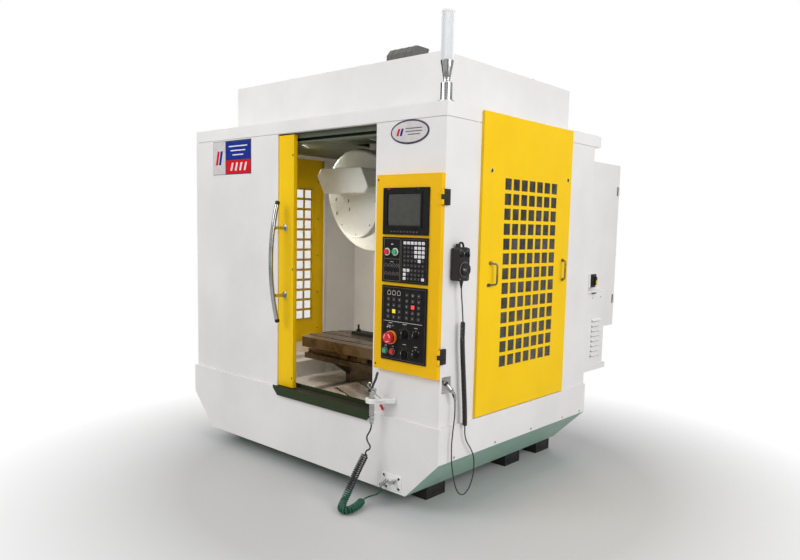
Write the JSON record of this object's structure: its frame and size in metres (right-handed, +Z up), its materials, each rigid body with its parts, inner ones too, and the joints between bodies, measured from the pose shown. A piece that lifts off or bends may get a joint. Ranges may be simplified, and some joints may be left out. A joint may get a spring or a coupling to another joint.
{
  "type": "cnc milling machine",
  "caption": "CNC milling machine: white cabin, yellow door, console and vent panels, green chip pan, tool turret, hand pendant, air gun",
  "frame": {"origin": "centre of the four corner anchor holes, on the floor", "axes": "+X to the right seen from the front, the front faces -Y, +Z up"},
  "size_m": [2.214, 2.1889, 2.41],
  "materials": {
    "white_paint": "white powder coat",
    "yellow_paint": "yellow powder coat",
    "green_paint": "grey green machine enamel",
    "olive_paint": "dark olive enamel",
    "black_iron": "black painted iron",
    "grey_casting": "grey machine casting",
    "cover_steel": "oily guide cover sheet",
    "table_iron": "ground oily iron",
    "bright_steel": "ground steel",
    "white_moulding": "white moulded cover",
    "chrome": "bright chrome",
    "clear_pane": "clear sheet",
    "black_plastic": "black plastic",
    "red_plastic": "red plastic",
    "green_plastic": "green plastic",
    "hose_green": "dark green hose",
    "cord_black": "black cord",
    "lens_clear": "clear ribbed lens"
  },
  "bodies": {
    "machine": {"base_skirt": "white_paint", "sump_pan": "green_paint", "levelling_feet": "black_iron", "machine_bed": "grey_casting", "cover_inner": "cover_steel", "column": "grey_casting", "turret_arm": "grey_casting", "turret_cover": "white_moulding", "chip_guards": "cover_steel", "ceiling_guard": "green_paint", "cabin_shell": "white_paint", "vent_panels": "yellow_paint", "vent_panes": "clear_pane", "pull_handles": "chrome", "roof_rim": "white_paint", "top_hood": "white_paint", "left_front_panel": "white_paint", "right_front_panel": "white_paint", "sill_tray": "olive_paint", "panel_hinges": "black_plastic", "pendant_body": "black_plastic", "pendant_cord": "cord_black", "pendant_plug": "chrome", "air_gun": "chrome", "hose_coil": "hose_green", "air_hose": "cord_black", "air_inlet": "chrome", "cabinet_shell": "white_paint", "tower_light": "lens_clear"},
    "door": {"sliding_door": "yellow_paint", "door_window": "clear_pane", "door_handle": "chrome"},
    "saddle_body": {"saddle": "grey_casting", "saddle_cover": "cover_steel"},
    "table_body": {"table": "table_iron", "fixture_plate": "black_iron"},
    "head": {"head_casting": "grey_casting"},
    "spindle_body": {"spindle": "bright_steel"},
    "turret": {"turret_drum": "bright_steel"},
    "cover_outer_body": {"cover_outer": "cover_steel"},
    "cover_middle_body": {"cover_middle": "cover_steel"},
    "console": {"control_plate": "yellow_paint", "console_units": "black_plastic"},
    "estop": {"estop_button": "red_plastic"},
    "cycle_start": {"cycle_start_button": "green_plastic"},
    "feed_hold": {"feed_hold_button": "red_plastic"},
    "power_off": {"power_off_button": "red_plastic"},
    "power_on": {"power_on_button": "green_plastic"},
    "mode": {"mode_knob": "black_plastic"},
    "feed": {"feed_knob": "black_plastic"},
    "upper": {"selector_upper": "black_plastic"},
    "lower": {"selector_lower": "black_plastic"},
    "toggle": {"toggle_switch": "chrome"},
    "handwheel": {"pendant_wheel": "black_plastic"},
    "axis_knob": {"pendant_axis_knob": "black_plastic"},
    "step_knob": {"pendant_step_knob": "black_plastic"},
    "lever": {"gun_lever": "chrome"},
    "rear_door": {"cabinet_door": "white_paint"},
    "power_switch": {"main_switch": "black_plastic"}
  },
  "joints": [
    {"name": "door_slide", "type": "slide", "parent": "machine", "child": "door", "axis": [1, 0, 0], "range_m": [0, 0.656]},
    {"name": "y_axis", "type": "slide", "parent": "machine", "child": "saddle_body", "axis": [0, 1, 0], "range_m": [-0.058, 0.342]},
    {"name": "x_axis", "type": "slide", "parent": "saddle_body", "child": "table_body", "axis": [1, 0, 0], "range_m": [-0.3, 0.3]},
    {"name": "z_axis", "type": "slide", "parent": "machine", "child": "head", "axis": [0, 0, 1], "range_m": [-0.3, 0]},
    {"name": "spindle_turn", "type": "hinge", "parent": "head", "child": "spindle_body", "pos_m": [0, -0.09, 1.2], "axis": [0, 0, 1], "continuous": true},
    {"name": "turret_turn", "type": "hinge", "parent": "machine", "child": "turret", "pos_m": [0, -0.308, 1.56], "axis": [0, 0.9677, 0.2521], "continuous": true},
    {"name": "cover_outer_slide", "type": "slide", "parent": "machine", "child": "cover_outer_body", "axis": [0, 1, 0], "range_m": [-0.05, 0.29]},
    {"name": "cover_middle_slide", "type": "slide", "parent": "machine", "child": "cover_middle_body", "axis": [0, 1, 0], "range_m": [-0.036, 0.21]},
    {"name": "console_hinge", "type": "hinge", "parent": "machine", "child": "console", "pos_m": [1.047, -0.83, 1.185], "axis": [0, 0, 1], "range_deg": [0, 100]},
    {"name": "estop_press", "type": "slide", "parent": "console", "child": "estop", "axis": [0, 1, 0], "range_m": [0, 0.007], "stiffness_N_per_m": 400},
    {"name": "cycle_start_press", "type": "slide", "parent": "console", "child": "cycle_start", "axis": [0, 1, 0], "range_m": [0, 0.005], "stiffness_N_per_m": 400},
    {"name": "feed_hold_press", "type": "slide", "parent": "console", "child": "feed_hold", "axis": [0, 1, 0], "range_m": [0, 0.005], "stiffness_N_per_m": 400},
    {"name": "power_off_press", "type": "slide", "parent": "console", "child": "power_off", "axis": [0, 1, 0], "range_m": [0, 0.005], "stiffness_N_per_m": 400},
    {"name": "power_on_press", "type": "slide", "parent": "console", "child": "power_on", "axis": [0, 1, 0], "range_m": [0, 0.005], "stiffness_N_per_m": 400},
    {"name": "mode_turn", "type": "hinge", "parent": "console", "child": "mode", "pos_m": [0.838, -0.8365, 0.899], "axis": [0, -1, 0], "range_deg": [-120, 120]},
    {"name": "feed_turn", "type": "hinge", "parent": "console", "child": "feed", "pos_m": [0.838, -0.8365, 0.801], "axis": [0, -1, 0], "range_deg": [-140, 140]},
    {"name": "upper_turn", "type": "hinge", "parent": "console", "child": "upper", "pos_m": [0.91, -0.8365, 0.898], "axis": [0, -1, 0], "range_deg": [-45, 45]},
    {"name": "lower_turn", "type": "hinge", "parent": "console", "child": "lower", "pos_m": [0.911, -0.8365, 0.807], "axis": [0, -1, 0], "range_deg": [-45, 45]},
    {"name": "toggle_tip", "type": "hinge", "parent": "console", "child": "toggle", "pos_m": [0.744, -0.8365, 0.928], "axis": [1, 0, 0], "range_deg": [-15, 15]},
    {"name": "handwheel_turn", "type": "hinge", "parent": "machine", "child": "handwheel", "pos_m": [1.1, -0.715, 1.224], "axis": [1, 0, 0], "continuous": true},
    {"name": "axis_knob_turn", "type": "hinge", "parent": "machine", "child": "axis_knob", "pos_m": [1.1, -0.736, 1.295], "axis": [1, 0, 0], "range_deg": [-75, 75]},
    {"name": "step_knob_turn", "type": "hinge", "parent": "machine", "child": "step_knob", "pos_m": [1.1, -0.694, 1.295], "axis": [1, 0, 0], "range_deg": [-45, 45]},
    {"name": "gun_lever_pull", "type": "hinge", "parent": "machine", "child": "lever", "pos_m": [0.6845, -0.88, 0.59], "axis": [0, 1, 0], "range_deg": [0, 8], "stiffness_Nm_per_rad": 0.5},
    {"name": "rear_door_hinge", "type": "hinge", "parent": "machine", "child": "rear_door", "pos_m": [0.989, 1.096, 1.32], "axis": [0, 0, -1], "range_deg": [0, 110]},
    {"name": "main_switch_turn", "type": "hinge", "parent": "machine", "child": "power_switch", "pos_m": [1.007, 0.756, 1.104], "axis": [1, 0, 0], "range_deg": [0, 90]}
  ],
  "couplings": [
    {"joint": "cover_outer_slide", "follows": "y_axis", "ratio": 0.83},
    {"joint": "cover_middle_slide", "follows": "y_axis", "ratio": 0.6}
  ]
}
